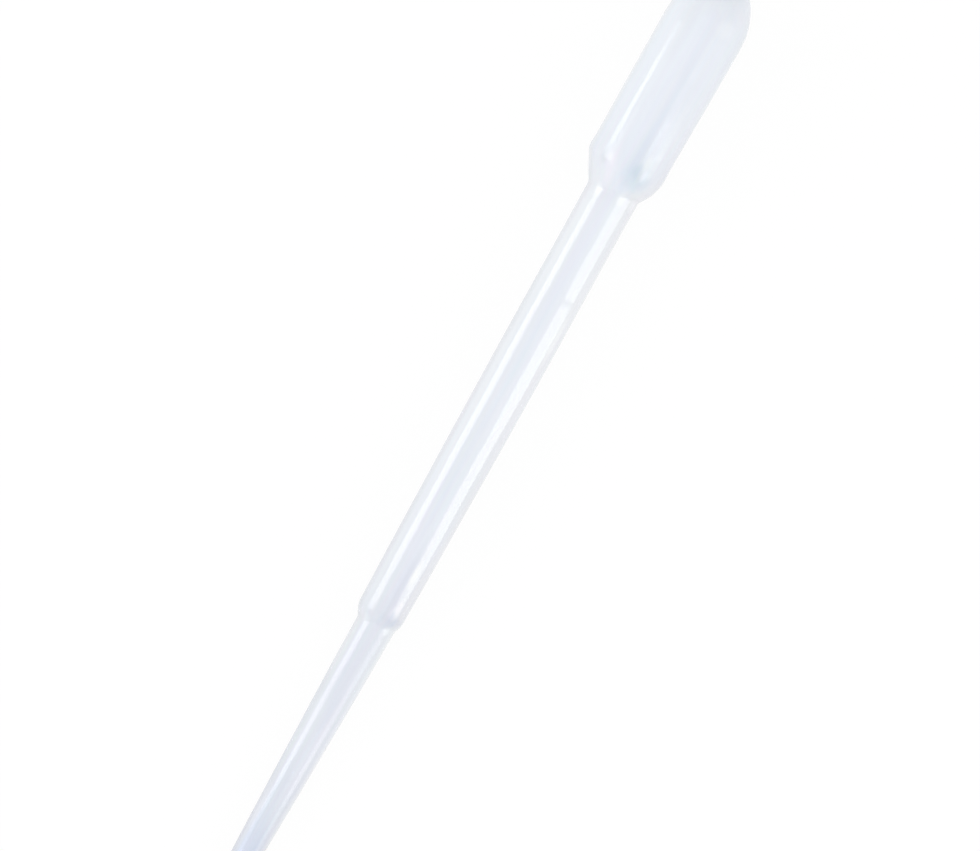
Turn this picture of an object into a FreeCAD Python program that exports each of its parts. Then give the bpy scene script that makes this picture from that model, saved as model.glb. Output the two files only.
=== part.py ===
"""A one-piece plastic dropper pipette: a squeezable bulb, a stem and a stepped-down tip.

The pipette is blown from one soft polyethylene tube, so it is one hollow solid: an outer form
less an air core. The same functions make both forms from the same sizes, the core one wall
thickness smaller. The bodies are made along X, with the stem's axis on X, the open end of the
tip near x = 0 and the closed end of the bulb at the greatest x. The bulb and the tip each have
an axis of their own, which leans a little from the stem's, as they do on a soft blown piece.
The finished pipette is laid down as it comes to rest, on its bulb and on the lower end of its
stem, and being soft it has a small flat spot under each. Lengths are in millimetres and angles
in degrees.
"""

import FreeCAD, Part
import math
import os

import Sketcher

from FreeCAD import Placement, Rotation, Vector

NODE = "pipette"

# Driving sizes: name, value and meaning
SIZES = [
    ("bulb_length", 36.05, "closed end of the bulb to the foot of the neck"),
    ("stem_length", 70.05, "foot of the neck to the top of the step"),
    ("straight_length", 30.0, "stretch of the stem below the neck that has no draft"),
    ("step_length", 2.05, "length of the step's cone"),
    ("tip_length", 51.85, "foot of the step to the open end"),
    ("bulb_radius", 6.16, "outside of the bulb where the dome meets its side"),
    ("dome_length", 8.6, "closed end to where the dome meets the bulb's side"),
    ("nose_inset", 0.91, "how much less than the bulb's radius the dome's nose is rounded to"),
    ("bulb_foot_radius", 5.98, "outside of the bulb where its lower end starts to round"),
    ("bulb_end_length", 6.2, "length of the rounding at the bulb's lower end"),
    ("bulb_end_inset", 0.8, "how far inside the stem's outside that rounding ends"),
    ("bulb_lean", 0.72, "angle between the bulb's axis and the stem's"),
    ("neck_length", 4.06, "foot of the neck to where its cone is as wide as the bulb's foot"),
    ("stem_radius", 3.93, "outside of the stem's straight stretch"),
    ("stem_end_radius", 3.58, "outside of the stem at the top of the step"),
    ("tip_root_radius", 2.95, "outside of the tip where it runs into the stem"),
    ("tip_end_radius", 1.8, "outside of the tip at its open end"),
    ("tip_shift", 0.18, "offset of the tip's axis at the foot of the step"),
    ("tip_lean", 0.52, "angle between the tip's axis and the stem's"),
    ("mouth_length", 3.0, "stretch of bore at the open end that has no draft"),
    ("wall", 0.42, "wall thickness of the bulb, neck and stem"),
    ("tip_wall", 0.45, "wall thickness of the tip"),
    ("overlap", 0.5, "how far one stretch's form runs into the next"),
    ("line_drop", 17.4, "foot of the neck to the middle of the volume line"),
    ("line_width", 1.1, "width of the volume line along the stem"),
    ("line_height", 0.18, "height of the volume line above the stem"),
    ("line_sweep", 58.0, "how far the volume line runs round the stem"),
    ("line_turn", 41.0, "where the middle of the volume line lies, turned about X from the top"),
    ("flat_depth", 0.05, "depth of the flat spots that the pipette lies on"),
]

# Places along the stem's axis, as formulas of the driving sizes
STEP_FOOT = "Sizes.tip_length"
STEP_TOP = "Sizes.tip_length + Sizes.step_length"
NECK_FOOT = f"{STEP_TOP} + Sizes.stem_length"
DRAFT_TOP = f"{NECK_FOOT} - Sizes.straight_length"
NOSE_CENTRE = f"{NECK_FOOT} + Sizes.bulb_length - Sizes.bulb_radius + Sizes.nose_inset"
LINE_PLACE = f"{NECK_FOOT} - Sizes.line_drop"

# The ground's slope to the stem's axis: it runs from the ring at the step's top to the rounding
# at the bulb's lower end, to which it is tangent
FOOT_DROP = "(Sizes.bulb_foot_radius - Sizes.stem_radius + Sizes.bulb_end_inset)"
FOOT_ROUNDING = f"((Sizes.bulb_end_length^2 + {FOOT_DROP}^2) / (2 * {FOOT_DROP}))"
ALONG = "(Sizes.stem_length - Sizes.overlap + Sizes.bulb_end_length)"
ACROSS = f"(Sizes.bulb_foot_radius - {FOOT_ROUNDING} - Sizes.stem_end_radius)"
SLOPE = f"(atan({ACROSS} / {ALONG}) + asin({FOOT_ROUNDING} / sqrt({ALONG}^2 + {ACROSS}^2)))"

# Point positions of a sketch's lines and arcs
START, END, CENTRE = 1, 2, 3
# A sketch's own origin and axis of rotation
ORIGIN, AXIS = -1, -1


def make_sheet(doc):
    """Keep every driving size in a cell under its own alias."""
    sheet = doc.addObject("Spreadsheet::Sheet", "Sizes")
    for row, (name, value, meaning) in enumerate(SIZES, start=1):
        sheet.set(f"A{row}", name)
        sheet.set(f"B{row}", str(value))
        sheet.set(f"C{row}", meaning)
        sheet.setAlias(f"B{row}", name)
    doc.recompute()
    return sheet


def new_sketch(body, name, turned_about=Vector(0, 1, 0), seat=None):
    """Make a sketch on the body's XZ plane, with its own frame at the seat given by formulas.

    In that plane a sketch's Y axis points up and the plane's normal is -Y, so the faces turned
    from it have their seams on top, clear of the ground.
    """
    plane = next(f for f in body.Origin.OriginFeatures if f.Role == "XZ_Plane")
    sketch = body.newObject("Sketcher::SketchObject", name)
    sketch.AttachmentSupport = (plane, [""])
    sketch.MapMode = "FlatFace"
    if seat:
        sketch.AttachmentOffset = Placement(Vector(), Rotation(turned_about, 1.0))
        for path, formula in seat.items():
            sketch.setExpression(f"AttachmentOffset.{path}", formula)
    return sketch


def value_of(item, formula):
    """Work out a formula of the sheet's sizes as a plain number."""
    value = item.evalExpression(formula)
    return float(getattr(value, "Value", value))


def pin(sketch, geometry, position, along, radius):
    """Bind a point to its place along the axis and its radius; no radius puts it on the axis."""
    for kind, formula in (("DistanceX", along), ("DistanceY", radius)):
        if formula is None:
            sketch.addConstraint(Sketcher.Constraint("PointOnObject", geometry, position, AXIS))
            continue
        value = value_of(sketch, formula)
        bound = Sketcher.Constraint(kind, ORIGIN, START, geometry, position, value)
        index = sketch.addConstraint(bound)
        sketch.setExpression(f"Constraints[{index}]", formula)


def join(sketch, first, second):
    """Make the end of one line or arc the start of the next."""
    sketch.addConstraint(Sketcher.Constraint("Coincident", first, END, second, START))


def draw_polygon(sketch, corners):
    """Draw a closed outline of straight lines whose corners are bound to formulas."""
    points = []
    for along, radius in corners:
        height = 0.0 if radius is None else value_of(sketch, radius)
        points.append(Vector(value_of(sketch, along), height, 0))
    count = len(points)
    for index in range(count):
        sketch.addGeometry(Part.LineSegment(points[index], points[(index + 1) % count]), False)
    for index, (along, radius) in enumerate(corners):
        join(sketch, index, (index + 1) % count)
        pin(sketch, index, START, along, radius)


def draw_bulb(sketch, wall):
    """Draw half the bulb's outline: dome, drawn-in side and rounded lower end.

    The sketch's origin is the centre of the dome's nose. The dome is two tangent arcs, the
    nose and a flatter shoulder that runs into the side, and the side runs into the rounding
    of the lower end, all without a corner.
    """
    nose_radius = f"Sizes.bulb_radius - Sizes.nose_inset - {wall}"
    side_radius = f"Sizes.bulb_radius - {wall}"
    foot_radius = f"Sizes.bulb_foot_radius - {wall}"
    end_radius = f"Sizes.stem_radius - Sizes.bulb_end_inset - {wall}"
    side_top = "Sizes.bulb_radius - Sizes.nose_inset - Sizes.dome_length"
    low_end = "Sizes.bulb_radius - Sizes.nose_inset - Sizes.bulb_length - Sizes.overlap"
    side_foot = f"{low_end} + Sizes.bulb_end_length"

    nose = value_of(sketch, nose_radius)
    top = Vector(value_of(sketch, side_top), value_of(sketch, side_radius), 0)
    foot = Vector(value_of(sketch, side_foot), value_of(sketch, foot_radius), 0)
    low = Vector(value_of(sketch, low_end), value_of(sketch, end_radius), 0)
    shoulder = (top.x**2 + top.y**2 - nose**2) / (2 * (top.y - nose))
    shoulder_centre = Vector(top.x, top.y - shoulder, 0)
    meeting = math.atan2(-shoulder_centre.y, -shoulder_centre.x)
    drop = foot.y - low.y
    rounding = ((foot.x - low.x) ** 2 + drop**2) / (2 * drop)
    rounding_centre = Vector(foot.x, foot.y - rounding, 0)
    low_angle = math.atan2(low.y - rounding_centre.y, low.x - rounding_centre.x)

    up, across = Vector(0, 0, 1), math.pi / 2
    outline = [
        Part.ArcOfCircle(Part.Circle(Vector(), up, nose), 0, meeting),
        Part.ArcOfCircle(Part.Circle(shoulder_centre, up, shoulder), meeting, across),
        Part.LineSegment(top, foot),
        Part.ArcOfCircle(Part.Circle(rounding_centre, up, rounding), across, low_angle),
        Part.LineSegment(low, Vector(low.x, 0, 0)),
        Part.LineSegment(Vector(low.x, 0, 0), Vector(nose, 0, 0)),
    ]
    geometry = [sketch.addGeometry(part, False) for part in outline]
    nose_arc, shoulder_arc, side, lower_arc, end_face, axis_line = geometry
    for first, second in ((nose_arc, shoulder_arc), (shoulder_arc, side), (side, lower_arc)):
        sketch.addConstraint(Sketcher.Constraint("Tangent", first, END, second, START))
    for first, second in ((lower_arc, end_face), (end_face, axis_line), (axis_line, nose_arc)):
        join(sketch, first, second)
    sketch.addConstraint(Sketcher.Constraint("Coincident", nose_arc, CENTRE, ORIGIN, START))
    sketch.addConstraint(Sketcher.Constraint("PointOnObject", nose_arc, START, AXIS))
    sketch.addConstraint(Sketcher.Constraint("PointOnObject", end_face, END, AXIS))
    sketch.addConstraint(Sketcher.Constraint("Vertical", end_face))
    size = sketch.addConstraint(Sketcher.Constraint("Radius", nose_arc, nose))
    sketch.setExpression(f"Constraints[{size}]", nose_radius)
    pin(sketch, side, START, side_top, side_radius)
    pin(sketch, side, END, side_foot, foot_radius)
    pin(sketch, lower_arc, END, low_end, end_radius)


def draw_neck_waste(sketch, wall):
    """Draw what lies outside the neck's cone and, below its foot, outside the stem.

    Turned round the stem's axis it trims the bulb's rounded end, so where the two axes part
    the neck is a straight cone on one side and stays round on the other.
    """
    foot_radius = f"Sizes.stem_radius - {wall}"
    clear_radius = "(Sizes.bulb_radius + Sizes.bulb_foot_radius)"
    slope = "(Sizes.bulb_foot_radius - Sizes.stem_radius) / Sizes.neck_length"
    rise = f"({clear_radius} - Sizes.stem_radius + {wall}) / ({slope})"
    low_end = f"{NECK_FOOT} - 2 * Sizes.overlap"
    corners = [
        (low_end, foot_radius),
        (NECK_FOOT, foot_radius),
        (f"{NECK_FOOT} + {rise}", clear_radius),
        (low_end, clear_radius),
    ]
    draw_polygon(sketch, corners)


def draw_stem(sketch, wall):
    """Draw half the stem's outline, from the step's cone up into the bulb."""
    cone_end = f"Sizes.tip_root_radius - 2 * Sizes.tip_shift - {wall}"
    top = f"{NECK_FOOT} + 0.5 * Sizes.bulb_end_length"
    corners = [
        (STEP_FOOT, None),
        (top, None),
        (top, f"Sizes.stem_radius - {wall}"),
        (DRAFT_TOP, f"Sizes.stem_radius - {wall}"),
        (STEP_TOP, f"Sizes.stem_end_radius - {wall}"),
        (STEP_FOOT, cone_end),
    ]
    draw_polygon(sketch, corners)


def draw_tip(sketch):
    """Draw half the tip's outline, from the open end up into the stem."""
    corners = [
        ("-Sizes.tip_length", None),
        ("Sizes.step_length", None),
        ("Sizes.step_length", "Sizes.tip_root_radius"),
        ("-Sizes.tip_length", "Sizes.tip_end_radius"),
    ]
    draw_polygon(sketch, corners)


def draw_tip_bore(sketch):
    """Draw half the tip's bore, from beyond the open end up into the stem's bore."""
    mouth_radius = "Sizes.tip_end_radius - Sizes.tip_wall"
    corners = [
        ("-Sizes.tip_length - Sizes.overlap", None),
        ("Sizes.step_length", None),
        ("Sizes.step_length", "Sizes.tip_root_radius - Sizes.tip_wall"),
        ("Sizes.mouth_length - Sizes.tip_length", mouth_radius),
        ("-Sizes.tip_length - Sizes.overlap", mouth_radius),
    ]
    draw_polygon(sketch, corners)


def draw_line(sketch):
    """Draw the volume line's section, a low rounded ridge that is rooted in the wall."""
    half = "0.5 * Sizes.line_width"
    surface = "Sizes.stem_radius"
    root = "Sizes.stem_radius - 0.5 * Sizes.wall"
    middle, radius = value_of(sketch, LINE_PLACE), value_of(sketch, surface)
    reach, height = value_of(sketch, half), value_of(sketch, "Sizes.line_height")
    depth = value_of(sketch, root)

    left, right = Vector(middle - reach, radius, 0), Vector(middle + reach, radius, 0)
    crest = Part.Arc(right, Vector(middle, radius + height, 0), left)
    low_left, low_right = Vector(left.x, depth, 0), Vector(right.x, depth, 0)
    outline = [
        crest,
        Part.LineSegment(left, low_left),
        Part.LineSegment(low_left, low_right),
        Part.LineSegment(low_right, right),
    ]
    geometry = [sketch.addGeometry(g, False) for g in outline]
    for first, second in zip(geometry, geometry[1:] + geometry[:1]):
        join(sketch, first, second)
    pin(sketch, geometry[0], START, f"{LINE_PLACE} + {half}", surface)
    pin(sketch, geometry[0], END, f"{LINE_PLACE} - {half}", surface)
    pin(sketch, geometry[2], START, f"{LINE_PLACE} - {half}", root)
    pin(sketch, geometry[2], END, f"{LINE_PLACE} + {half}", root)
    crest_radius = f"0.5 * Sizes.line_height + ({half})^2 / (2 * Sizes.line_height)"
    bound = Sketcher.Constraint("Radius", geometry[0], value_of(sketch, crest_radius))
    sketch.setExpression(f"Constraints[{sketch.addConstraint(bound)}]", crest_radius)


def turn(body, sketch, kind="Revolution"):
    """Turn a sketch a full circle round its own X axis, to add material or to remove it."""
    feature = body.newObject(f"PartDesign::{kind}", f"{sketch.Name}_turned")
    feature.Profile = sketch
    feature.ReferenceAxis = (sketch, ["H_Axis"])
    feature.Angle = 360.0
    sketch.Document.recompute()
    return feature


def make_form(doc, name, wall, draw_end):
    """Make the outer form (no wall taken off) or the air core (one wall smaller)."""
    body = doc.addObject("PartDesign::Body", name)
    bulb_seat = {"Base.x": NOSE_CENTRE, "Rotation.Angle": "-Sizes.bulb_lean"}
    bulb = new_sketch(body, f"{name}_bulb", seat=bulb_seat)
    draw_bulb(bulb, wall)
    rounded = turn(body, bulb).Shape.Volume

    neck = new_sketch(body, f"{name}_neck")
    draw_neck_waste(neck, wall)
    if turn(body, neck, "Groove").Shape.Volume >= rounded:
        raise RuntimeError(f"{name}: the neck's cone trims nothing")

    stem = new_sketch(body, f"{name}_stem")
    draw_stem(stem, wall)
    turn(body, stem)

    tip_seat = {
        "Base.x": STEP_FOOT,
        "Base.z": "Sizes.tip_shift",
        "Rotation.Angle": "-Sizes.tip_lean",
    }
    tip = new_sketch(body, f"{name}_tip", seat=tip_seat)
    draw_end(tip)
    turn(body, tip)
    return body


def add_volume_line(body):
    """Raise the single volume line, a short arc round the stem."""
    turned = {"Rotation.Angle": "Sizes.line_turn"}
    sketch = new_sketch(body, "volume_line", Vector(1, 0, 0), turned)
    draw_line(sketch)
    ridge = turn(body, sketch)
    ridge.Midplane = True
    ridge.setExpression("Angle", "Sizes.line_sweep")


def flatten(body):
    """Flatten the two places that the pipette lies on, at the bulb's foot and the step's top.

    The sketch's X axis lies on the ground, and what is lower than the flats is cut away.
    """
    seat = {"Base.x": STEP_TOP, "Base.y": "-Sizes.stem_end_radius", "Rotation.Angle": f"-{SLOPE}"}
    sketch = new_sketch(body, "ground", Vector(0, 0, 1), seat)
    reach = "(Sizes.stem_length + Sizes.bulb_length)"
    corners = [
        ("-Sizes.step_length", "-Sizes.overlap"),
        (reach, "-Sizes.overlap"),
        (reach, "Sizes.flat_depth"),
        ("-Sizes.step_length", "Sizes.flat_depth"),
    ]
    draw_polygon(sketch, corners)
    flats = body.newObject("PartDesign::Pocket", "flats")
    flats.Profile = sketch
    flats.Type = "ThroughAll"
    flats.Midplane = True


def lay_down(piece, sheet):
    """Tilt the pipette until its flats lie on the ground, and centre it over the origin.

    The tip and the dome hang clear. The origin is the middle of the box's underside.
    """
    tilt = value_of(sheet, SLOPE)
    piece.Placement = Placement(Vector(), Rotation(Vector(0, 1, 0), -tilt))
    piece.Document.recompute()
    box = piece.Shape.optimalBoundingBox(False)
    piece.Placement.Base = Vector(-box.Center.x, -box.Center.y, -box.ZMin)
    piece.Document.recompute()
    return tilt


def check(doc, piece):
    """Stop if any object failed or the pipette isn't one sound solid."""
    for item in doc.Objects:
        if {"Invalid", "Error"} & set(item.State):
            raise RuntimeError(f"{item.Name}: {item.State}")
    shape = piece.Shape
    if shape.isNull() or not shape.isValid() or len(shape.Solids) != 1:
        raise RuntimeError(f"{piece.Label} isn't one valid solid")


def main():
    doc = FreeCAD.newDocument("dropper_pipette")
    sheet = make_sheet(doc)
    outer = make_form(doc, "outer_form", "0", draw_tip)
    add_volume_line(outer)
    flatten(outer)
    core = make_form(doc, "air_core", "Sizes.wall", draw_tip_bore)

    piece = doc.addObject("Part::Cut", NODE)
    piece.Label = NODE
    piece.Base = outer
    piece.Tool = core
    doc.recompute()
    tilt = lay_down(piece, sheet)
    check(doc, piece)

    os.makedirs("parts", exist_ok=True)
    piece.Shape.exportStep(f"parts/{piece.Label}.step")
    box = piece.Shape.optimalBoundingBox(False)
    print(f"{piece.Label}: {piece.Shape.Volume:.1f} mm3, {len(piece.Shape.Faces)} faces")
    print(f"box {box.XMin:.3f} {box.YMin:.3f} {box.ZMin:.3f} to "
          f"{box.XMax:.3f} {box.YMax:.3f} {box.ZMax:.3f}, tilt {tilt:.3f}")


main()
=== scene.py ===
"""The looks of a one-piece plastic dropper pipette: a soft, milky, glossy shell on a pale floor.

The pipette is one closed surface worked out on a grid, outside and inside, in the local frame of
its stem: X runs along the stem's axis from the open end of the tip (0) to the closed end of the
bulb, and the angle runs round it from the side (+Y) over the top (+Z). Every stretch of it is
round in section, so at each place along the axis it is a circle with a centre and a radius, and
the stretches are joined by smooth largest-of and least-of. Lengths of the pipette are in
millimetres, and the finished mesh is in metres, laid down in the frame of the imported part.
"""

import math

import bpy
import numpy as np
from mathutils import Matrix, Vector


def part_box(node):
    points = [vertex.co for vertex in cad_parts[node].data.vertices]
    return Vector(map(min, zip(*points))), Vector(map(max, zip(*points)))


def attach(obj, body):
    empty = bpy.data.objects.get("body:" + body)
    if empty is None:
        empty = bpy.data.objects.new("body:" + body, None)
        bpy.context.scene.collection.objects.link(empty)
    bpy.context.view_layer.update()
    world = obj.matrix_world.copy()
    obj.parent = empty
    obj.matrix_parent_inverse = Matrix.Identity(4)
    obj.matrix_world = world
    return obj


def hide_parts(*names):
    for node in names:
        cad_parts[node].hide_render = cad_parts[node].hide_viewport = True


# Places along the stem's axis, from the open end of the tip
MOUTH_LENGTH = 3.0
STEP_FOOT = 51.85
STEP_TOP = 53.9
DRAFT_TOP = 93.95
LINE_PLACE = 106.55
BULB_END = 123.45
NECK_FOOT = 123.95
NECK_TOP = 128.01
BULB_FOOT = 129.65
BULB_TOP = 151.4
NOSE_CENTRE = 154.75

# Outside radii, and the least that the neck's cone may shrink to
NOSE_RADIUS = 5.25
BULB_RADIUS = 6.16
BULB_FOOT_RADIUS = 5.98
BULB_END_RADIUS = 3.13
STEM_RADIUS = 3.93
STEM_END_RADIUS = 3.58
STEP_FOOT_RADIUS = 2.59
TIP_ROOT_RADIUS = 2.95
TIP_END_RADIUS = 1.8
LEAST_RADIUS = 0.5

# Walls
WALL = 0.42
TIP_WALL = 0.45

# Leans and shifts of a blown piece, whose neck and step are slightly askew
BULB_LEAN = math.radians(0.72)
TIP_LEAN = math.radians(0.52)
TIP_SHIFT = 0.18
NECK_RISE = 0.12
NECK_SKEW = 0.14
STEP_SKEW = 0.10

# How the pipette lies, and the depth of the flats that it lies on
REST_TILT = math.radians(1.81781)
FLAT_DEPTH = 0.05

# Blends that round the joins. The last value is the share of them that the inside of the neck
# and of the step's foot has.
TAPER_BLEND = 0.03
STEP_TOP_BLEND = 0.32
STEP_FOOT_BLEND = 0.08
NECK_FOOT_BLEND = 0.14
NECK_TOP_BLEND = 0.12
BORE_BLEND = 0.02
INSIDE_ROUNDNESS = 0.8

# How far the wall stands out past straight, in the middle of the stem's taper and of the tip,
# and past round, at the sides and at the sides of the bulb's foot
STEM_FULLNESS = 0.06
TIP_FULLNESS = 0.10
SIDE_FULLNESS = 0.03
FOOT_FULLNESS = 0.08

# The raised volume line, and its angles round the stem
LINE_HEIGHT = 0.03
LINE_HALF_WIDTH = 0.9
LINE_MIDDLE = math.radians(131.0)
LINE_HALF_SWEEP = math.radians(31.0)
LINE_FADE = math.radians(9.0)

# Rings of the grid: points in each, and the dome's rings by their turn about the nose's centre
ROUND = 120
DOME_RINGS = 40
DOME_START = 151.2
DOME_TURN = 1.9
POLE_SHARE = 0.02069
CROWDING = 1.25

# What stands for 1 in the wall's map: a length along it and a whole turn round it
MAP_LENGTH = 160.0
MAP_TURN = 360.0


def smooth_max(first, second, blend):
    """The larger of two heights, with a rounded join.

    Where they differ by less than the blend, a quarter of the blend times the square of the
    share that is left is added.
    """
    share = np.clip(1.0 - np.abs(first - second) / blend, 0.0, None)
    return np.maximum(first, second) + 0.25 * blend * share**2


def smooth_min(first, second, blend):
    """The smaller of two heights, with a rounded join, as smooth_max upside down."""
    return -smooth_max(-first, -second, blend)


def ease(value, low, high):
    """Rise from 0 to 1 between two limits, as three squares less two cubes."""
    share = np.clip((value - low) / (high - low), 0.0, 1.0)
    return share * share * (3.0 - 2.0 * share)


def reach(centre, radius, eye, angle):
    """Distance from the eye, a point on the Y axis, to a circle, in the direction of the angle.

    With the circle's centre an offset away from the eye it is the offset times the cosine,
    plus the root of the squared radius less the squared offset times the squared sine.
    """
    offset = centre - eye
    squared = np.maximum(radius**2 - (offset * np.sin(angle)) ** 2, 0.0)
    return offset * np.cos(angle) + np.sqrt(squared)


def bulb_profile(place, wall):
    """Radius of the bulb: a nose arc, a flatter shoulder arc, a straight side and a rounding.

    Both dome arcs are tangent where they meet, and each arc is the root of its squared radius
    less the squared distance from its centre, plus its centre's height.
    """
    nose = NOSE_RADIUS - wall
    top, foot, end = BULB_RADIUS - wall, BULB_FOOT_RADIUS - wall, BULB_END_RADIUS - wall
    back = BULB_TOP - NOSE_CENTRE
    shoulder = (back**2 + top**2 - nose**2) / (2 * (top - nose))
    shoulder_height = top - shoulder
    meeting = NOSE_CENTRE + nose * math.cos(math.atan2(-shoulder_height, -back))
    drop = foot - end
    rounding = ((BULB_FOOT - BULB_END) ** 2 + drop**2) / (2 * drop)

    def arc(centre, height, radius):
        """One arc's height over the axis."""
        return height + np.sqrt(np.maximum(radius**2 - (place - centre) ** 2, 0.0))

    side = foot + (top - foot) * (place - BULB_FOOT) / (BULB_TOP - BULB_FOOT)
    radius = np.where(place > BULB_TOP, arc(BULB_TOP, shoulder_height, shoulder), side)
    radius = np.where(place > meeting, arc(NOSE_CENTRE, 0.0, nose), radius)
    return np.where(place < BULB_FOOT, arc(BULB_FOOT, foot - rounding, rounding), radius)


def neck_cone(place, wall):
    """Radius of the cone that joins the bulb to the stem.

    It is a straight line that leaves the stem's radius a little above the neck's foot, with
    the slope that takes the neck's length to rise to the radius of the bulb's foot.
    """
    slope = (BULB_FOOT_RADIUS - STEM_RADIUS) / (NECK_TOP - NECK_FOOT)
    return STEM_RADIUS + slope * (place - NECK_FOOT - NECK_RISE) - wall


def stem_profile(place, wall):
    """Radius of the stem: straight below the neck, then tapering to the top of the step.

    Both are straight lines, as is the step's cone, through its two ends. It is the smooth
    least of the three, with the largest blend at the step's top.
    """
    taper = (STEM_RADIUS - STEM_END_RADIUS) / (DRAFT_TOP - STEP_TOP)
    straight = np.full_like(place, STEM_RADIUS)
    tapered = STEM_END_RADIUS + taper * (place - STEP_TOP)
    slope = (STEM_END_RADIUS - STEP_FOOT_RADIUS) / (STEP_TOP - STEP_FOOT)
    cone = STEM_END_RADIUS + slope * (place - STEP_TOP)
    return smooth_min(smooth_min(straight, tapered, TAPER_BLEND), cone, STEP_TOP_BLEND) - wall


def tip_profile(place, wall):
    """Radius of the tip, a straight taper; its bore has no taper near the open end."""
    if not wall:
        return TIP_END_RADIUS + (TIP_ROOT_RADIUS - TIP_END_RADIUS) / STEP_TOP * place
    root, end = TIP_ROOT_RADIUS - wall, TIP_END_RADIUS - wall
    bore = end + (root - end) * (place - MOUTH_LENGTH) / (STEP_TOP - MOUTH_LENGTH)
    return smooth_max(bore, np.full_like(place, end), BORE_BLEND)


def bulb_axis(place):
    """Sideways place of the bulb's axis, which crosses the stem's at the nose's centre."""
    return math.tan(BULB_LEAN) * (NOSE_CENTRE - place)


def tip_axis(place):
    """Sideways place of the tip's axis, which is shifted at the step and leans back."""
    return -TIP_SHIFT - math.tan(TIP_LEAN) * (place - STEP_FOOT)


def grid_centre(place):
    """Sideways place of the grid's own centre: on the tip's axis, the stem's, then the bulb's.

    It eases from one axis to the next, over the 8 mm below the step and over the neck.
    """
    low = tip_axis(place) * (1.0 - ease(place, STEP_FOOT - 8.0, STEP_FOOT))
    return low + bulb_axis(place) * ease(place, NECK_FOOT, BULB_FOOT)


def wall_reach(place, angle, wall, tip_wall, roundness):
    """Distance from the grid's centre to the outside (no wall) or the inside of the shell.

    Below the bulb it is the smooth largest of the stem's and the tip's reach within a
    millimetre of the step, and one of the two elsewhere. Above, it is the smooth least of the
    bulb's and the neck cone's, and the smooth largest of that and the stem's. The step is moved
    along by its skew times one less the cosine, and the neck's cone by its skew times the cosine.
    """
    eye = grid_centre(place)
    skewed_step = place + STEP_SKEW * (1.0 - np.cos(angle))
    skewed_neck = place + NECK_SKEW * np.cos(angle)
    stem = reach(0.0, stem_profile(skewed_step, wall), eye, angle)
    tip = reach(tip_axis(place), tip_profile(place, tip_wall), eye, angle)
    low = smooth_max(stem, tip, STEP_FOOT_BLEND * roundness)
    low = np.where(place < STEP_FOOT - 1.0, tip, np.where(place > STEP_TOP + 1.0, stem, low))
    bulb = reach(bulb_axis(place), bulb_profile(place, wall), eye, angle)
    cone = reach(0.0, np.maximum(neck_cone(skewed_neck, wall), LEAST_RADIUS), eye, angle)
    high = smooth_min(bulb, cone, NECK_TOP_BLEND * roundness)
    joined = smooth_max(stem, high, NECK_FOOT_BLEND * roundness)
    joined = np.where(place > BULB_FOOT, bulb, joined)
    return np.where(place < BULB_END, low, joined)


def volume_line(place, angle):
    """Height of the raised volume line: a rounded ridge along a short arc round the stem.

    Across it is the square of one less the squared distance from its middle, in half widths,
    and at its ends it eases away.
    """
    across = np.clip(1.0 - ((place - LINE_PLACE) / LINE_HALF_WIDTH) ** 2, 0.0, 1.0)
    away = np.abs((angle - LINE_MIDDLE + math.pi) % (2 * math.pi) - math.pi)
    return LINE_HEIGHT * across**2 * (1.0 - ease(away, LINE_HALF_SWEEP - LINE_FADE, LINE_HALF_SWEEP))


def waviness(place, angle):
    """Slight unevenness of a blown wall: a few long waves along it and round it, summed.

    The stem's taper and the tip are also a little fuller than straight in their middles, by
    half a sine wave over each. The sides are a little fuller than round, by the squared cosine
    of the angle, and most from the neck to just above the bulb's foot.
    """
    along = 0.010 * np.sin(place / 7.3 + 1.1) + 0.006 * np.sin(place / 3.1 + 2.0 * angle)
    around = 0.008 * np.sin(2.0 * angle + place / 19.0) + 0.005 * np.sin(3.0 * angle - place / 11.0)
    stem = np.clip((place - STEP_TOP) / (DRAFT_TOP - STEP_TOP), 0.0, 1.0)
    tip = np.clip((place - 8.0) / (STEP_FOOT - 8.0), 0.0, 1.0)
    middles = STEM_FULLNESS * np.sin(math.pi * stem) + TIP_FULLNESS * np.sin(math.pi * tip)
    at_foot = ease(place, NECK_FOOT - 1.0, 126.0) * (1.0 - ease(place, 128.5, 131.5))
    sides = SIDE_FULLNESS + FOOT_FULLNESS * at_foot
    return along + around + middles + sides * np.cos(angle) ** 2


def stations():
    """Places of the rings along the axis, close together where the form turns quickly.

    Each run has its first place, its last one and its number of rings: the open end, the tip,
    the step, the stem's taper, the volume line, the straight stem, the neck, the bulb's side.
    """
    runs = [
        (0.35, 4.0, 14),
        (4.6, 49.4, 70),
        (49.8, 55.6, 48),
        (56.2, 104.6, 76),
        (105.0, 108.1, 36),
        (108.7, 121.3, 20),
        (121.6, 131.0, 64),
        (131.6, 151.0, 32),
    ]
    return np.concatenate([np.linspace(first, last, count) for first, last, count in runs])


def dome_stations(wall):
    """Places of the dome's rings: the nose's centre plus its radius times the cosine of a turn.

    The turns go from well behind the nose's centre to nearly its pole. They are an even share
    to a power a little over 1, which brings the rings closer together towards the pole.
    """
    turn = DOME_TURN * np.linspace(1.0, POLE_SHARE, DOME_RINGS) ** CROWDING
    places = NOSE_CENTRE + (NOSE_RADIUS - wall) * np.cos(turn)
    return places[places > DOME_START]


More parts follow.
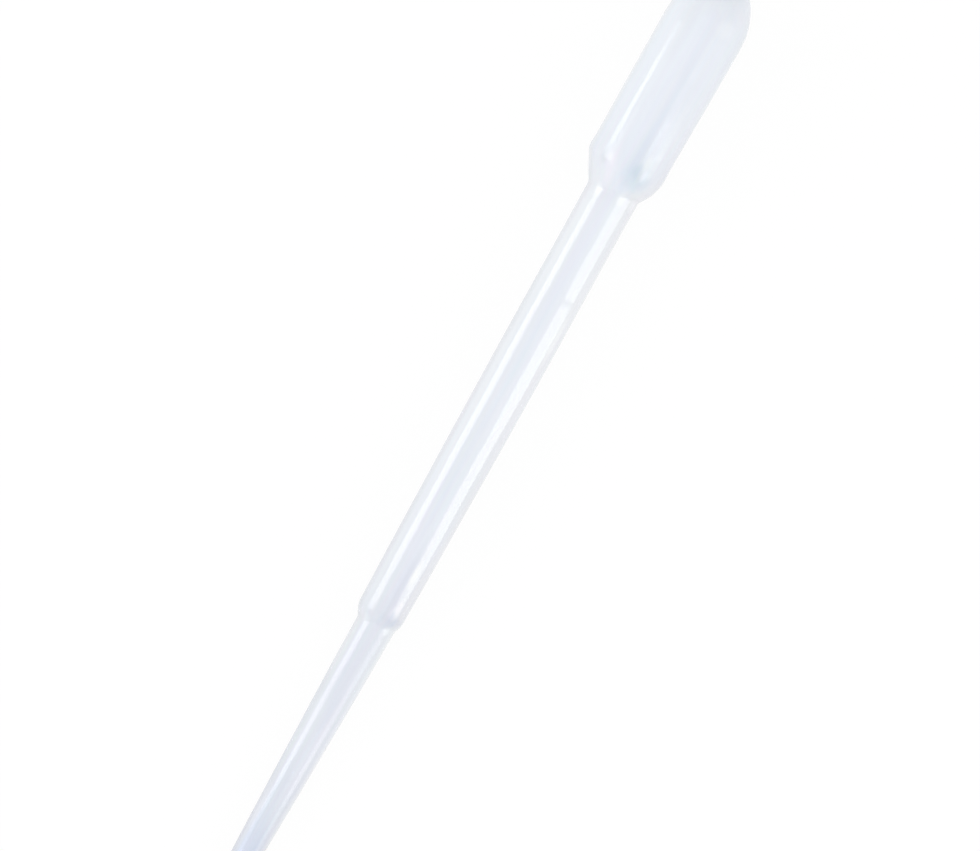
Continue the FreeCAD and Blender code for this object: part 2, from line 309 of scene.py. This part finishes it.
def wall_rings(angle, wall, tip_wall, roundness):
    """Rings of points from the tip to the dome, on the outside (no wall) or the inside.

    A ring's point lies at the grid's centre plus its reach times the cosine and sine of the
    angle. The waviness eases in over 6 mm from the open end and eases out over the dome.
    """
    place = np.concatenate([stations(), dome_stations(wall)])[:, None]
    distance = wall_reach(place, angle, wall, tip_wall, roundness)
    if not wall:
        distance = distance + volume_line(place, angle)
    share = ease(place, 0.0, 6.0) * (1.0 - ease(place, BULB_TOP, NOSE_CENTRE + 2.0))
    distance = distance + share * waviness(place, angle)
    x = np.broadcast_to(place, distance.shape)
    y = grid_centre(place) + distance * np.cos(angle)
    return np.stack([x, y, distance * np.sin(angle)], axis=-1)


def rim_ring(place, radius, angle):
    """A ring of points on the rim of the open end: a circle about the tip's axis."""
    x = np.full(angle.shape, place)
    return np.stack([x, tip_axis(place) + radius * np.cos(angle), radius * np.sin(angle)], axis=-1)


def shell_grid():
    """Rings of points down the outside from the dome, round the rim and up the inside, and poles.

    The rim's edges are rounded over about a tenth of a millimetre. The poles are the middle of
    the dome outside and inside, on the bulb's axis.
    """
    angle = np.linspace(0.0, 2 * math.pi, ROUND, endpoint=False)[None, :]
    bore = TIP_END_RADIUS - TIP_WALL
    rim = [
        (0.14, TIP_END_RADIUS),
        (0.04, TIP_END_RADIUS - 0.04),
        (0.0, TIP_END_RADIUS - 0.13),
        (0.0, bore + 0.1),
        (0.03, bore + 0.03),
        (0.12, bore),
    ]
    outside = wall_rings(angle, 0.0, 0.0, 1.0)[::-1]
    mouth = [rim_ring(place, radius, angle) for place, radius in rim]
    inside = wall_rings(angle, WALL, TIP_WALL, INSIDE_ROUNDNESS)
    poles = [NOSE_CENTRE + NOSE_RADIUS, NOSE_CENTRE + NOSE_RADIUS - WALL]
    return np.concatenate([outside, *mouth, inside]), [(x, bulb_axis(x), 0.0) for x in poles]


def lay_down(points, box):
    """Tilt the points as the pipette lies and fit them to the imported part's box, in metres.

    They are centred on the box along and across, sunk by the flats' depth and cut off level at
    the box's underside.
    """
    laid = points @ np.array(Matrix.Rotation(-REST_TILT, 3, "Y")).T
    low, high = laid.min(axis=0), laid.max(axis=0)
    box_low, box_high = 1000.0 * np.array(box)
    shift = 0.5 * (box_low + box_high) - 0.5 * (low + high)
    laid[:, :2] += shift[:2]
    laid[:, 2] += box_low[2] - FLAT_DEPTH - low[2]
    laid[:, 2] = np.maximum(laid[:, 2], box_low[2])
    return 0.001 * laid


def make_shell(box):
    """Make the shell's mesh: quads between neighbouring rings and a fan at each pole.

    Its map holds the place along the pipette and the angle, with the map's length and a whole
    turn as 1, so that a tint can follow the wall along and round.
    """
    grid, poles = shell_grid()
    count = len(grid)
    points = lay_down(np.concatenate([grid.reshape(-1, 3), np.array(poles)]), box)
    ring, step = np.meshgrid(np.arange(count - 1), np.arange(ROUND), indexing="ij")
    ring, step = ring.ravel(), step.ravel()
    rings = np.stack([ring, ring + 1, ring + 1, ring], axis=1)
    steps = np.stack([step, step, step + 1, step + 1], axis=1)
    around = np.arange(ROUND)
    ends = np.stack([np.full(ROUND, count * ROUND), around, (around + 1) % ROUND], axis=1)
    last = np.stack([np.full(ROUND, count * ROUND + 1), ends[:, 2], ends[:, 1]], axis=1)
    last[:, 1:] += (count - 1) * ROUND
    faces = (rings * ROUND + steps % ROUND).tolist() + ends.tolist() + last.tolist()
    mesh = bpy.data.meshes.new("pipette_shell")
    mesh.from_pydata(points.tolist(), [], faces)
    mesh.polygons.foreach_set("use_smooth", np.ones(len(mesh.polygons), dtype=bool))
    along = grid[:, 0, 0] / MAP_LENGTH
    corners = [np.stack([along[rings], steps / ROUND], axis=-1).reshape(-1, 2)]
    for index, turn in ((0, [0.5, 0.0, 1.0]), (-1, [0.5, 1.0, 0.0])):
        fan = np.empty((ROUND, 3, 2))
        fan[:, :, 0] = along[index]
        fan[:, :, 1] = (around[:, None] + np.array(turn)) / ROUND
        corners.append(fan.reshape(-1, 2))
    wall_map = mesh.uv_layers.new(name="along_and_round")
    wall_map.uv.foreach_set("vector", np.concatenate(corners).astype(np.float32).ravel())
    mesh.update()
    shell = bpy.data.objects.new("pipette_shell", mesh)
    bpy.context.scene.collection.objects.link(shell)
    return shell


class Nodes:
    """The node tree of a material or of the world, with short calls to place and link nodes."""

    def __init__(self, name, kind=bpy.data.materials):
        self.owner = kind.new(name)
        self.owner.use_nodes = True
        self.tree = self.owner.node_tree
        self.tree.nodes.clear()

    def put(self, socket, value):
        """Link a socket to another node's output, or give it a plain value."""
        if isinstance(value, bpy.types.NodeSocket):
            self.tree.links.new(value, socket)
        else:
            socket.default_value = value

    def add(self, kind, label, settings=None, **inputs):
        """Place a node, change its settings and fill the sockets that are named."""
        node = self.tree.nodes.new(kind)
        node.label = node.name = label
        for key, value in (settings or {}).items():
            setattr(node, key, value)
        for key, value in inputs.items():
            self.put(node.inputs[key.replace("_", " ")], value)
        return node

    def number(self, label, operation, first, second):
        """Work out a number from two others."""
        node = self.add("ShaderNodeMath", label, {"operation": operation})
        self.put(node.inputs[0], first)
        self.put(node.inputs[1], second)
        return node.outputs["Value"]

    def vector(self, label, operation, first, second):
        """Work out a vector from two others."""
        node = self.add("ShaderNodeVectorMath", label, {"operation": operation})
        self.put(node.inputs[0], first)
        self.put(node.inputs[1], second)
        return node.outputs["Vector"]

    def blend(self, label, kind, factor, first, second, mode="MIX"):
        """Mix two colours or two values by a factor.

        A Mix node's sockets have numbers that depend on what it mixes: factor, first, second
        and result.
        """
        settings = {"data_type": kind, "blend_type": mode} if kind == "RGBA" else {"data_type": kind}
        node = self.add("ShaderNodeMix", label, settings)
        *sockets, output = {"RGBA": (0, 6, 7, 2), "FLOAT": (0, 2, 3, 0)}[kind]
        for index, value in zip(sockets, (factor, first, second)):
            self.put(node.inputs[index], value)
        return node.outputs[output]

    def ramp(self, label, value, stops, kind="LINEAR"):
        """Turn a value into a colour, from stops of a value and a colour."""
        node = self.add("ShaderNodeValToRGB", label, Fac=value)
        node.color_ramp.interpolation = kind
        elements = node.color_ramp.elements
        while len(elements) < len(stops):
            elements.new(0.5)
        for element, (place, colour) in zip(elements, stops):
            element.position, element.color = place, (*colour, 1.0)
        return node.outputs["Color"]

    def between(self, label, value, low, high, first=0.0, last=1.0):
        """Rise smoothly from the first value to the last as a value goes from low to high."""
        node = self.add("ShaderNodeMapRange", label, {"interpolation_type": "SMOOTHSTEP"}, Value=value,
                        From_Min=low, From_Max=high, To_Min=first, To_Max=last)
        return node.outputs["Result"]

    def drawn_noise(self, label, place, scale, detail, roughness):
        """Noise at a place, drawn long by a smaller scale along the pipette than across it."""
        drawn = self.add("ShaderNodeMapping", label + " drawn long", Vector=place, Scale=scale)
        noise = self.add("ShaderNodeTexNoise", label, Vector=drawn.outputs["Vector"],
                         Scale=1.0, Detail=detail, Roughness=roughness)
        return noise.outputs


def rise_along(m, label, along, low, high):
    """Rise smoothly from 0 to 1 between two places along the pipette."""
    return m.between(label, along, low / MAP_LENGTH, high / MAP_LENGTH)


def share_along(m, label, along, stops):
    """A share that changes along the pipette, from stops of a place and a share."""
    return m.ramp(label, along, [(place / MAP_LENGTH, (share,) * 3) for place, share in stops])


def tint_round(m, label, angle, stops):
    """Tint round the wall, from stops of an angle in degrees and a colour."""
    return m.ramp(label, angle, [(degrees / MAP_TURN, colour) for degrees, colour in stops])


def spot(m, label, wall, place, degrees, length, turn, strength):
    """A soft-edged oval on the wall, round a place and an angle.

    Its edge is its length away along the wall and its turn away round it. It is at its full
    strength in its core, a share of the way there, and eases out to nothing at the edge.
    """
    moved = m.vector(label + " centre", "SUBTRACT", wall, (place / MAP_LENGTH, degrees / MAP_TURN, 0.0))
    sized = m.vector(label + " size", "MULTIPLY", moved, (MAP_LENGTH / length, MAP_TURN / turn, 0.0))
    away = m.add("ShaderNodeVectorMath", label + " distance", {"operation": "LENGTH"}, Vector=sized)
    return m.between(label, away.outputs["Value"], SPOT_CORE, 1.0, strength, 0.0)


# Tints round the wall: angle in degrees and colour. Besides the wall's own tint they hold painted
# shade: greyer at the sides where the wall turns down, darker along the top between the highlights
# as a painted dark reflection, and lighter beside the highlights. The underside is plain.
BULB_TINTS_AND_SHADE = [
    (0, (0.720, 0.745, 0.775)), (20, (0.755, 0.785, 0.820)), (34, (0.787, 0.827, 0.882)),
    (48, (0.798, 0.838, 0.893)), (62, (0.803, 0.845, 0.903)), (80, (0.808, 0.848, 0.913)),
    (92, (0.797, 0.835, 0.906)), (108, (0.784, 0.824, 0.893)), (130, (0.795, 0.830, 0.888)),
    (140, (0.783, 0.812, 0.872)), (152, (0.757, 0.787, 0.836)), (180, (0.710, 0.735, 0.770)),
    (270, (0.770, 0.800, 0.850)), (360, (0.710, 0.735, 0.765)),
]
STEM_TINTS_AND_SHADE = [
    (0, (0.670, 0.695, 0.735)), (24, (0.724, 0.745, 0.784)), (36, (0.796, 0.819, 0.857)),
    (44, (0.806, 0.831, 0.871)), (55, (0.812, 0.845, 0.888)), (70, (0.787, 0.815, 0.870)),
    (90, (0.777, 0.810, 0.880)), (108, (0.820, 0.855, 0.905)), (120, (0.800, 0.825, 0.861)),
    (140, (0.790, 0.808, 0.838)), (160, (0.765, 0.780, 0.810)), (180, (0.725, 0.740, 0.760)),
    (270, (0.760, 0.790, 0.840)), (360, (0.655, 0.680, 0.720)),
]
TIP_TINTS_AND_SHADE = [
    (0, (0.610, 0.625, 0.665)), (30, (0.675, 0.695, 0.742)), (45, (0.720, 0.740, 0.790)),
    (56, (0.724, 0.760, 0.833)), (75, (0.718, 0.743, 0.811)), (105, (0.708, 0.736, 0.818)),
    (140, (0.715, 0.740, 0.795)), (155, (0.745, 0.770, 0.805)), (180, (0.735, 0.745, 0.765)),
    (270, (0.715, 0.740, 0.785)), (360, (0.610, 0.625, 0.665)),
]
NOSE_TINT = (0.782, 0.815, 0.873, 1.0)
STREAK_TINT = (0.720, 0.772, 0.865, 1.0)
# The tint that the painted shade along the pipette multiplies in
PAINTED_SHADE_TINT = (0.880, 0.880, 0.900, 1.0)
CLOUD_TINT = (0.900, 0.920, 0.960, 1.0)
WHITE = (1.0, 1.0, 1.0, 1.0)

# Small tints on the wall, most of them painted light: painted highlights and glints where the
# lamps' highlights start, end or spread, and painted shade in the neck's hollow, on the step and
# over parts of the highlights. Place, angle in degrees, length, turn in degrees, strength and colour
SPOTS = [
    # Painted shade in and beside the neck's hollow, where the wall turns away from the light, and over
    # the ends of the highlights there
    ("painted shade beside the streak", 131.5, 112.0, 5.0, 13.0, 0.7, (0.715, 0.770, 0.835)),
    ("painted shade in the neck's hollow", 127.6, 114.0, 3.2, 32.0, 0.72, (0.655, 0.745, 0.830)),
    ("darkest painted shade in the neck's hollow", 128.6, 110.5, 1.8, 12.0, 0.8, (0.600, 0.690, 0.770)),
    ("painted shade on the neck's left edge", 128.4, 55.5, 1.5, 12.0, 0.7, (0.710, 0.745, 0.800)),
    ("painted shade in the neck's corner", 128.4, 116.0, 1.3, 7.5, 0.7, (0.645, 0.715, 0.780)),
    ("painted shade on the neck's right side", 128.9, 130.0, 1.3, 8.0, 0.4, (0.720, 0.760, 0.810)),
    # Painted highlights and glints at the neck and at the neck's foot, where the lamps' highlights
    # start and end
    ("painted highlight at the neck", 130.3, 118.0, 1.8, 10.0, 0.6, (0.820, 0.880, 0.890)),
    ("painted highlight band down the neck", 127.4, 68.0, 4.5, 15.0, 0.8, (0.865, 0.860, 0.925)),
    ("painted glint in the neck's corner", 128.4, 121.0, 1.2, 6.0, 0.4, (0.870, 0.910, 0.970)),
    ("painted highlight on the left of the neck's foot", 123.7, 57.0, 1.5, 13.0, 0.7, (0.920, 0.940, 0.965)),
    ("painted highlight on the right of the neck's foot", 123.8, 114.0, 1.3, 17.0, 0.6, (0.920, 0.940, 0.965)),
    ("thin side of the neck's foot", 123.8, 149.0, 1.4, 17.0, 0.5, (0.900, 0.920, 0.935)),
    # Painted shade on the bulb's shoulder, over the spread top of the left highlight
    ("painted shade on the bulb's shoulder", 150.5, 64.0, 8.0, 20.0, 0.5, (0.740, 0.785, 0.840)),
    # Painted light on the top of the nose, where it turns away from the light, and a painted highlight
    # on the nose
    ("painted light on the top of the nose", 155.3, 105.0, 2.0, 14.0, 0.4, (0.840, 0.870, 0.920)),
    ("painted highlight on the nose", 152.8, 119.0, 2.2, 20.0, 0.5, (0.870, 0.900, 0.940)),
    # Painted shade on the step, where the wall turns away from the light
    ("painted shade on the step", 53.4, 112.0, 1.9, 38.0, 0.55, (0.660, 0.700, 0.800)),
    # A darker run above the step
    ("darker run above the step", 58.5, 104.0, 12.0, 14.0, 0.6, (0.690, 0.720, 0.810)),
    # Painted shade on the step's side and in its corner, over the ends of the highlights
    ("painted shade on the step's side", 53.9, 136.0, 1.3, 34.0, 0.5, (0.600, 0.640, 0.720)),
    ("painted shade in the step's corner", 54.7, 119.0, 1.1, 11.0, 0.5, (0.630, 0.670, 0.770)),
    # Painted highlights above the step
    ("painted highlight above the step", 56.2, 124.0, 1.8, 12.0, 0.6, (0.950, 0.925, 0.960)),
    ("painted highlight run above the step", 61.4, 118.0, 3.0, 12.0, 0.45, (0.950, 0.960, 0.900)),
    # A cooler run in the stem
    ("cool run in the stem", 69.0, 111.0, 6.0, 9.0, 0.4, (0.800, 0.805, 0.885)),
    # A painted highlight below the volume line, and painted glints where the tip's highlights start
    # under the step
    ("painted highlight below the volume line", 101.5, 140.0, 6.0, 14.0, 0.6, (0.900, 0.920, 0.930)),
    ("painted glint under the step", 52.3, 132.0, 1.0, 17.0, 0.6, (0.870, 0.910, 0.940)),
    ("painted glint on the step's other side", 52.6, 60.0, 1.0, 16.0, 0.5, (0.850, 0.890, 0.930)),
    # Painted light on the tip's left side under the step
    ("thin side under the step", 47.5, 27.0, 7.5, 30.0, 0.5, (0.780, 0.800, 0.840)),
    # Painted shade on the volume line
    ("shade of the volume line", 106.6, 118.0, 0.9, 22.0, 0.45, (0.740, 0.780, 0.830)),
    # A painted highlight in the tip, in place of the right highlight there
    ("painted highlight run in the tip", 27.0, 109.0, 13.0, 26.0, 0.5, (0.790, 0.820, 0.880)),
    # Painted shade over the tip's highlights
    ("painted shade run in the tip", 41.5, 63.0, 5.5, 10.0, 0.35, (0.680, 0.710, 0.760)),
    ("painted shade on the tip's side", 21.5, 129.0, 3.5, 18.0, 0.45, (0.680, 0.710, 0.755)),
    ("painted shade run near the open end", 16.0, 64.0, 12.0, 15.0, 0.95, (0.610, 0.670, 0.760)),
    # A painted highlight near the open end
    ("painted highlight near the open end", 19.0, 45.0, 8.0, 14.0, 0.5, (0.800, 0.830, 0.890)),
    # Painted shade by the open end, over the end of the left highlight
    ("painted shade by the open end", 14.3, 61.0, 3.6, 11.0, 0.5, (0.590, 0.650, 0.750)),
    # A bluer, darker end of the tip
    ("bluer end of the tip", 9.0, 82.0, 15.0, 75.0, 0.75, (0.640, 0.730, 0.870)),
]

# How far a spot's core reaches, as a share of the whole
SPOT_CORE = 0.2

# Where one tint goes over to the next along the pipette, and the streak's edges in degrees
ABOVE_STEP = (50.88, 55.2)
ABOVE_NECK = (123.52, 130.4)
OVER_NOSE = (152.8, 159.68)
STREAK_LEFT = (87.48, 98.64)
STREAK_RIGHT = (102.24, 109.44)

# Shares along the pipette: place and share
STREAK_DEPTH = [(123.2, 0.0), (128.0, 0.92), (136.0, 0.55), (152.0, 0.3), (156.8, 0.0)]
# Painted shade along the pipette: darker at the step and the neck, where the surface turns away from
# the light, a little down the stem's taper, and near the open end
PAINTED_SHADE_ALONG = [
    (16.0, 0.7), (20.8, 0.35), (28.8, 0.1), (51.52, 0.0), (53.28, 0.35), (54.56, 0.75), (57.6, 0.5),
    (72.0, 0.3), (96.0, 0.1), (121.6, 0.0), (124.0, 0.2), (128.8, 0.3), (134.4, 0.1), (144.0, 0.0),
]
DULLNESS = [
    (14.4, 0.95), (20.16, 0.85), (22.4, 0.25), (28.8, 0.2), (38.4, 0.75), (44.8, 0.75), (51.2, 0.3),
    (53.92, 0.9), (55.2, 0.9), (56.0, 0.0), (124.48, 0.0), (125.92, 0.95), (129.92, 1.0),
    (131.04, 0.0), (142.4, 0.0), (150.4, 0.5), (155.2, 0.9),
]

# Where the skin is duller on the volume line: place, angle in degrees, length, turn and strength
DULL_LINE = (106.6, 124.0, 1.1, 34.0, 0.9)

# The skin: roughness where glossiest, less glossy and dull, and the swell's strength and height
# in metres; how much clouds and drawing lines show, and the share of light that passes through
GLOSSY_ROUGHNESS = (0.08, 0.12)
DULL_ROUGHNESS = 0.26
SWELL_STRENGTH = 0.14
SWELL_HEIGHT = 0.0003
CLOUDS_SHOW = 0.10
LINES_SHOW = 0.18
LIGHT_THROUGH = 0.1
REFRACTION = 1.5

# The surroundings: how strongly they light the object, how much of the floor glows where it is
# seen directly, and how far the floor reaches to each side in metres
PLAIN_LEVEL = 0.889
FLOOR_GLOW = 0.95
FLOOR_REACH = 3.0


def wall_tint_and_shade(m, along, angle):
    """Tint of the wall with painted shade: the tip's, the stem's and the bulb's, blended at the step
    and the neck.

    Each changes round the wall, with painted shade that is greyer where the wall turns down at the
    sides and darker along the top between the highlights, and the bulb's goes over to one tint at
    the nose.
    """
    bulb = tint_round(m, "tint and painted shade round the bulb", angle, BULB_TINTS_AND_SHADE)
    stem = tint_round(m, "tint and painted shade round the stem", angle, STEM_TINTS_AND_SHADE)
    tip = tint_round(m, "tint and painted shade round the tip", angle, TIP_TINTS_AND_SHADE)
    over_nose = rise_along(m, "over the nose", along, *OVER_NOSE)
    above_step = rise_along(m, "above the step", along, *ABOVE_STEP)
    above_neck = rise_along(m, "above the neck", along, *ABOVE_NECK)
    domed = m.blend("bulb or nose", "RGBA", over_nose, bulb, NOSE_TINT)
    lower = m.blend("tip or stem", "RGBA", above_step, tip, stem)
    return m.blend("stem or bulb", "RGBA", above_neck, lower, domed)


def add_streak(m, tint, along, angle):
    """Blend a darker streak into the top of the bulb, deepest at the neck."""
    low, high = (degrees / MAP_TURN for degrees in STREAK_LEFT)
    left = m.between("left of the streak", angle, low, high)
    low, high = (degrees / MAP_TURN for degrees in STREAK_RIGHT)
    right = m.between("right of the streak", angle, low, high, 1.0, 0.0)
    across = m.number("streak", "MULTIPLY", left, right)
    depth = share_along(m, "depth of the streak", along, STREAK_DEPTH)
    streak = m.number("streak in the bulb", "MULTIPLY", across, depth)
    return m.blend("darker streak", "RGBA", streak, tint, STREAK_TINT)


def add_spots(m, tint, wall):
    """Blend the small tints, most of them painted highlights and painted shade, into the tint, one
    after another.
    """
    for label, place, degrees, length, turn, strength, colour in SPOTS:
        share = spot(m, label, wall, place, degrees, length, turn, strength)
        tint = m.blend(label + " tint", "RGBA", share, tint, (*colour, 1.0))
    return tint


def milky_polyethylene():
    """Soft milky polyethylene: a little of the light passes through, and the rest is scattered.

    Its tint is coolest in the bulb and on top, and greyer in the tip. Painted shade makes it greyer
    where the wall turns down at the sides and darker along the top between the highlights. A darker
    streak runs down the bulb to painted shade in the neck's hollow, and more painted shade darkens
    the step, the neck and the open end; small painted highlights and shade sit where the lamps'
    highlights start and end. Faint clouds and lines are drawn out along the piece. The skin is
    glossy, duller at the tip, the step, the neck, the nose and the volume line, and a low swell
    makes the gloss uneven.
    """
    m = Nodes("milky_polyethylene")
    place = m.add("ShaderNodeTexCoord", "place on the pipette").outputs["Object"]
    wall = m.add("ShaderNodeUVMap", "place on the wall", {"uv_map": "along_and_round"}).outputs["UV"]
    split = m.add("ShaderNodeSeparateXYZ", "along and round", Vector=wall)
    along, angle = split.outputs["X"], split.outputs["Y"]

    tint = add_spots(m, add_streak(m, wall_tint_and_shade(m, along, angle), along, angle), wall)
    # Painted shade along the pipette, most at the step, the neck and near the open end
    shade_share = share_along(m, "painted shade along the pipette", along, PAINTED_SHADE_ALONG)
    shaded = m.blend("painted shade at the step, neck and open end", "RGBA", shade_share, tint, PAINTED_SHADE_TINT, "MULTIPLY")
    clouds = m.drawn_noise("clouds in the wall", place, (60.0, 190.0, 190.0), 4.0, 0.55)["Fac"]
    lines = m.drawn_noise("drawing lines", place, (35.0, 1500.0, 1500.0), 2.0, 0.5)["Color"]
    cloudiness = m.between("cloudiness", clouds, 0.35, 0.65, 0.0, CLOUDS_SHOW)
    clouded = m.blend("clouded tint", "RGBA", cloudiness, shaded, CLOUD_TINT)
    colour = m.blend("drawn tint", "RGBA", LINES_SHOW, clouded, lines, "SOFT_LIGHT")

    glossy = m.between("gloss of the skin", clouds, 0.3, 0.7, *GLOSSY_ROUGHNESS)
    duller = share_along(m, "duller tip, step, neck and nose", along, DULLNESS)
    on_line = spot(m, "duller volume line", wall, *DULL_LINE)
    dullest = m.number("dullest", "MAXIMUM", duller, on_line)
    rough = m.blend("gloss or duller skin", "FLOAT", dullest, glossy, DULL_ROUGHNESS)
    swell = m.drawn_noise("swell of the skin", place, (150.0, 420.0, 420.0), 2.0, 0.45)["Fac"]
    bump = m.add("ShaderNodeBump", "uneven skin", Height=swell, Strength=SWELL_STRENGTH,
                 Distance=SWELL_HEIGHT)

    skin = m.add("ShaderNodeBsdfPrincipled", "polyethylene", Base_Color=colour, Roughness=rough,
                 IOR=REFRACTION, Transmission_Weight=LIGHT_THROUGH, Normal=bump.outputs["Normal"])
    m.add("ShaderNodeOutputMaterial", "output", Surface=skin.outputs["BSDF"])
    return m.owner


def seen_directly(m):
    """Say 1 for rays from the camera, a reflection or a refraction, and 0 for scattered light."""
    ray = m.add("ShaderNodeLightPath", "kind of ray").outputs
    first = m.number("camera or gloss", "MAXIMUM", ray["Is Camera Ray"], ray["Is Glossy Ray"])
    return m.number("or refraction", "MAXIMUM", first, ray["Is Transmission Ray"])


def pale_floor():
    """White floor that scatters the light and keeps a faint shadow, but mostly glows where seen."""
    m = Nodes("white_floor")
    grain = m.add("ShaderNodeTexNoise", "paper grain", Scale=60.0, Detail=3.0).outputs["Fac"]
    white = m.ramp("white paper", grain, [(0.0, (0.93, 0.93, 0.93)), (1.0, (0.97, 0.97, 0.97))], "EASE")
    paper = m.add("ShaderNodeBsdfDiffuse", "paper", Color=white)
    glow = m.add("ShaderNodeEmission", "white where seen", Color=WHITE, Strength=1.0)
    mostly = m.number("mostly glow where seen directly", "MULTIPLY", seen_directly(m), FLOOR_GLOW)
    mix = m.add("ShaderNodeMixShader", "paper and white", Fac=mostly)
    m.put(mix.inputs[1], paper.outputs["BSDF"])
    m.put(mix.inputs[2], glow.outputs["Emission"])
    m.add("ShaderNodeOutputMaterial", "output", Surface=mix.outputs["Shader"])
    return m.owner


def make_floor():
    """A wide flat floor just under the pipette: one square about its middle."""
    mesh = bpy.data.meshes.new("floor")
    signs = [(-1, -1), (1, -1), (1, 1), (-1, 1)]
    mesh.from_pydata([(x * FLOOR_REACH, y * FLOOR_REACH, 0.0) for x, y in signs], [], [(0, 1, 2, 3)])
    mesh.materials.append(pale_floor())
    floor = bpy.data.objects.new("floor", mesh)
    bpy.context.scene.collection.objects.link(floor)
    return floor


def make_world():
    """Even white surroundings, plain for scattered light and white where seen directly."""
    m = Nodes("surroundings", bpy.data.worlds)
    level = m.add("ShaderNodeMapRange", "plain or white", Value=seen_directly(m),
                  To_Min=PLAIN_LEVEL, To_Max=1.0)
    back = m.add("ShaderNodeBackground", "white", Color=WHITE, Strength=level.outputs["Result"])
    m.add("ShaderNodeOutputWorld", "output", Surface=back.outputs["Background"])
    bpy.context.scene.world = m.owner


# Soft lamps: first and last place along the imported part's X in metres, lowest and highest angle
# in degrees from +Y over the top, glow with the white of the surroundings as 1, and distance in
# metres
LAMPS = [
    ("left_bulb_light", 0.043, 0.068, 14.5, 29.0, 3.2, 0.30),
    ("left_upper_light", 0.000, 0.037, 18.5, 44.5, 3.3, 0.40),
    ("left_lower_light", -0.170, 0.000, 18.5, 49.5, 3.2, 0.40),
    ("right_bulb_light", 0.036, 0.050, 141.0, 172.0, 0.17, 0.30),
    ("right_upper_light", 0.010, 0.037, 124.0, 176.0, 2.9, 0.40),
    ("right_middle_light", -0.012, 0.010, 127.0, 178.0, 3.0, 0.40),
    ("right_lower_light", -0.058, -0.012, 128.0, 173.0, 3.3, 0.40),
    ("right_tip_light", -0.150, -0.062, 136.0, 164.0, 2.0, 0.40),
]


def soft_box(name, first, last, low, high, glow, distance):
    """A soft rectangular lamp that faces the line along the floor that the pipette lies on."""
    middle, spread = math.radians(0.5 * (low + high)), math.radians(high - low)
    lamp = bpy.data.lights.new(name, "AREA")
    lamp.shape = "RECTANGLE"
    lamp.size, lamp.size_y = last - first, 2.0 * distance * math.tan(0.5 * spread)
    lamp.energy = glow * math.pi * lamp.size * lamp.size_y
    box = bpy.data.objects.new(name, lamp)
    away = Vector((0.0, math.cos(middle), math.sin(middle)))
    ahead = Vector((1.0, 0.0, 0.0))
    turned = Matrix((ahead, away.cross(ahead), away)).transposed().to_4x4()
    box.matrix_world = Matrix.Translation(distance * away + ahead * 0.5 * (first + last)) @ turned
    box.visible_camera = False
    bpy.context.scene.collection.objects.link(box)


# The camera: its height over the pipette, whose outline is 4 mm above the floor, its place and the
# width that it sees, in metres, its turn about the upright, and its sensor's width in millimetres
CAMERA_HEIGHT = 1.6
CAMERA_PLACE = (0.005834, -0.00083, CAMERA_HEIGHT + 0.004)
SEEN_WIDTH = 0.14307
CAMERA_TURN = math.radians(28.94)
SENSOR_WIDTH = 36.0


def make_camera():
    """A camera high above the pipette that looks straight down, turned so the bulb is up right."""
    camera = bpy.data.cameras.new("camera")
    camera.sensor_width = SENSOR_WIDTH
    camera.lens = SENSOR_WIDTH * CAMERA_HEIGHT / SEEN_WIDTH
    camera.clip_end = 20.0
    eye = bpy.data.objects.new("camera", camera)
    right = Vector((math.sin(CAMERA_TURN), -math.cos(CAMERA_TURN), 0.0))
    up = Vector((math.cos(CAMERA_TURN), math.sin(CAMERA_TURN), 0.0))
    turned = Matrix((right, up, Vector((0.0, 0.0, 1.0)))).transposed().to_4x4()
    eye.matrix_world = Matrix.Translation(CAMERA_PLACE) @ turned
    bpy.context.scene.collection.objects.link(eye)
    bpy.context.scene.camera = eye


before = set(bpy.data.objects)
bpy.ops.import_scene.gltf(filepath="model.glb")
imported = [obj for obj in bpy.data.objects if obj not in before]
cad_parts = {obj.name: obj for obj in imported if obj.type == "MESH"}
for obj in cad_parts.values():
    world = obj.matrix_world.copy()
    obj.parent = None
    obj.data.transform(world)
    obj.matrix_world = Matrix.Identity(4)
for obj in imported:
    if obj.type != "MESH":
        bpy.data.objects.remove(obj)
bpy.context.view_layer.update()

shell = make_shell(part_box("pipette"))
shell.data.materials.append(milky_polyethylene())
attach(shell, "root")
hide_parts("pipette")

make_floor()
make_world()
for lamp in LAMPS:
    soft_box(*lamp)
make_camera()

bpy.context.scene.view_settings.view_transform = "Standard"
